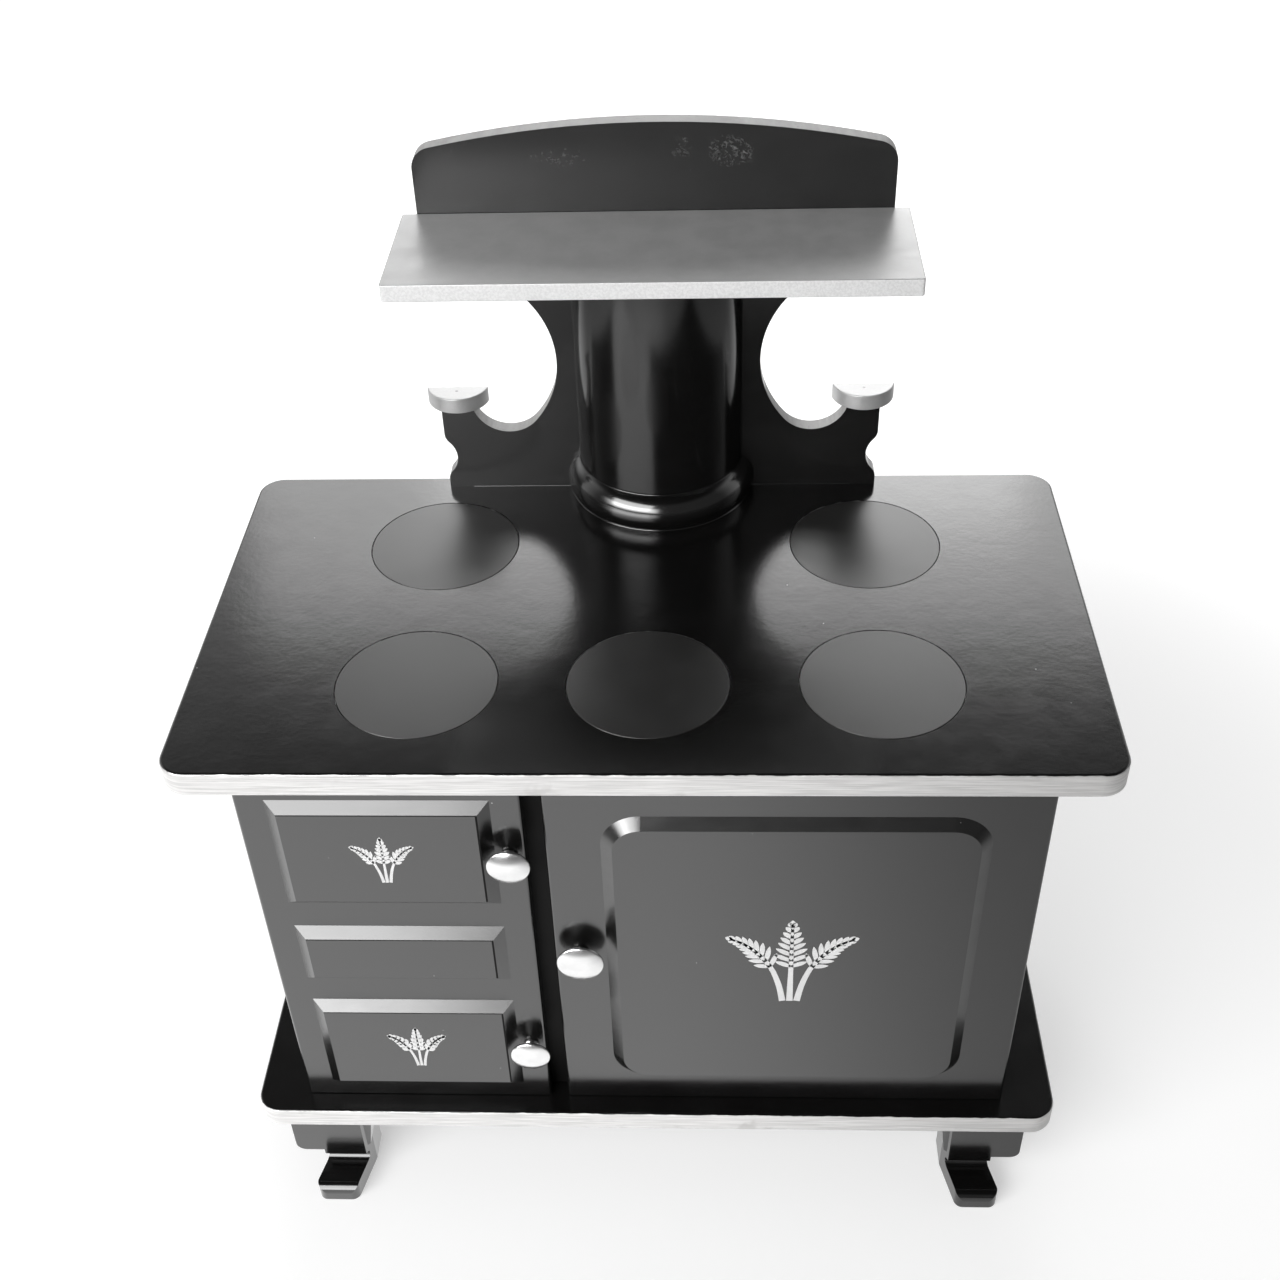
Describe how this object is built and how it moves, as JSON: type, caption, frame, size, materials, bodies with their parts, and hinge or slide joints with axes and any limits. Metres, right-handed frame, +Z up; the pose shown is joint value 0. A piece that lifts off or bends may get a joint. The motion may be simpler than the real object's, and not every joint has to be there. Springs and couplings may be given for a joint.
{
  "type": "toy cookstove",
  "caption": "Doll-size wooden cookstove with a raised-panel cupboard door, an oven door, round cooking plates, curved legs and a scroll-sawn backboard with flue and warming shelf.",
  "frame": {"origin": "on the floor, under the middle of the worktop", "axes": "+Z up, -Y towards the player (the doors' side), +X to the player's right"},
  "size_m": [0.406, 0.238, 0.4979],
  "materials": {
    "black_lacquer": "black semi-gloss lacquer on wood",
    "silver_paint": "silver metallic paint on wood",
    "steel": "plain steel",
    "bare_wood": "bare hardwood",
    "catch_case": "black plastic case with steel lips"
  },
  "bodies": {
    "stove": {"base": "black_lacquer", "left_side": "black_lacquer", "right_side": "black_lacquer", "divider": "black_lacquer", "back_panel": "black_lacquer", "worktop": "black_lacquer", "plate_front_left": "black_lacquer", "plate_front_middle": "black_lacquer", "plate_front_right": "black_lacquer", "plate_back_left": "black_lacquer", "plate_back_right": "black_lacquer", "left_hinge_pins": "steel", "oven_hinge_pins": "steel", "left_catch": "catch_case", "oven_catch": "catch_case", "oven_shelf": "black_lacquer", "shelf_cleats": "black_lacquer", "backboard": "black_lacquer", "flue": "black_lacquer", "flue_collar": "black_lacquer", "warming_shelf": "silver_paint", "left_corner_shelf": "silver_paint", "right_corner_shelf": "silver_paint", "leg_front_left": "black_lacquer", "leg_front_right": "black_lacquer", "leg_back_left": "black_lacquer", "leg_back_right": "black_lacquer", "leg_dowels": "bare_wood", "base_screws": "steel", "worktop_dowels": "bare_wood", "backboard_screws": "steel", "warming_shelf_screws": "steel", "flue_screws": "steel", "back_panel_nails": "steel", "corner_shelf_nails": "steel"},
    "left_door": {"left_door": "black_lacquer", "upper_knob": "silver_paint", "lower_knob": "silver_paint", "left_knob_screws": "steel", "left_strike": "steel"},
    "oven_door": {"oven_door": "black_lacquer", "oven_knob": "silver_paint", "oven_knob_screw": "steel", "oven_strike": "steel"}
  },
  "joints": [
    {"name": "left_door_hinge", "type": "hinge", "parent": "stove", "child": "left_door", "pos_m": [-0.17275, -0.0957, 0.18095], "axis": [0, 0, -1], "range_deg": [0, 100]},
    {"name": "oven_door_hinge", "type": "hinge", "parent": "stove", "child": "oven_door", "pos_m": [0.17275, -0.0957, 0.18095], "axis": [0, 0, 1], "range_deg": [0, 100]}
  ]
}
